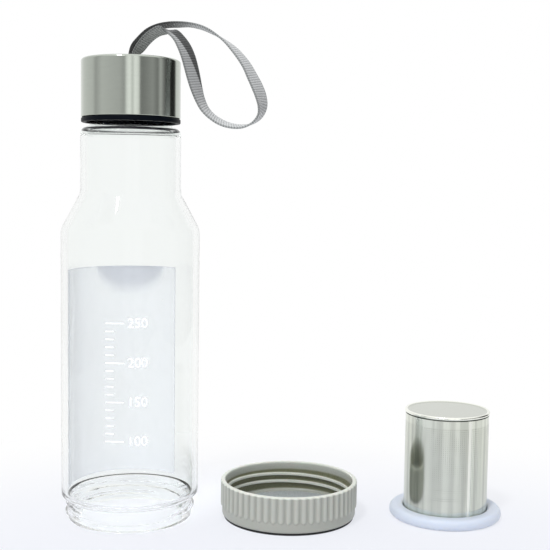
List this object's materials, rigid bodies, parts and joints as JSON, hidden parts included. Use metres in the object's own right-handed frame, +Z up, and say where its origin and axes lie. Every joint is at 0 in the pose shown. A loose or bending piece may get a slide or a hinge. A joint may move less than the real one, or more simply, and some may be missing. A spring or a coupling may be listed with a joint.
{
  "type": "infuser water bottle",
  "caption": "Open-ended glass bottle with screw-threaded foot, steel screw cap with wrist strap, ribbed foot cap lying open, and perforated infuser basket in a silicone ring, laid out apart.",
  "frame": {"origin": "middle of the floor under the whole layout of bottle, foot cap and infuser", "axes": "+Z up, +X from the bottle past the foot cap to the infuser, -Y the side that the picture shows"},
  "size_m": [0.2124, 0.0658, 0.2341],
  "materials": {
    "glass": "clear and smooth",
    "film": "translucent frosted film",
    "steel": "brushed around",
    "liner": "black moulded plastic",
    "silicone": "translucent silicone",
    "webbing": "flat woven webbing",
    "grey_plastic": "satin moulded plastic",
    "black_rubber": "matt",
    "basket_steel": "satin sheet steel"
  },
  "bodies": {
    "bottle": {"bottle_glass": "glass", "back_film": "film"},
    "cap_seal": {"cap_gasket": "silicone"},
    "cap": {"cap_liner": "liner", "strap_retainer": "steel", "cap_shell": "steel", "strap_root": "webbing"},
    "strap": {"strap_loop": "webbing"},
    "foot_cap": {"foot_cap": "grey_plastic", "foot_cap_pad": "black_rubber"},
    "seal": {"infuser_seal": "silicone"},
    "basket": {"basket_flange": "basket_steel", "basket_wall": "basket_steel", "basket_end": "basket_steel"}
  },
  "joints": [
    {"name": "cap_lift", "type": "slide", "parent": "bottle", "child": "cap_seal", "axis": [0, 0, 1], "range_m": [0, 0.02601]},
    {"name": "cap_turn", "type": "hinge", "parent": "cap_seal", "child": "cap", "pos_m": [-0.0737, 0, 0.2095], "axis": [0, 0, 1], "range_deg": [0, 2340]},
    {"name": "strap_swing", "type": "hinge", "parent": "cap", "child": "strap", "pos_m": [-0.0737, 0, 0.21795], "axis": [0, 1, 0], "range_deg": [-60, 0]},
    {"name": "foot_cap_pick_up", "type": "slide", "parent": "bottle", "child": "foot_cap", "axis": [0, 0, 1], "range_m": [0, 0.06]},
    {"name": "seal_pick_up", "type": "slide", "parent": "bottle", "child": "seal", "axis": [0, 0, 1], "range_m": [0, 0.05]},
    {"name": "basket_pull_out", "type": "slide", "parent": "seal", "child": "basket", "axis": [0, 0, 1], "range_m": [0, 0.03]}
  ],
  "couplings": [
    {"joint": "cap_lift", "follows": "cap_turn", "m_per_rad": 0.00063662}
  ]
}
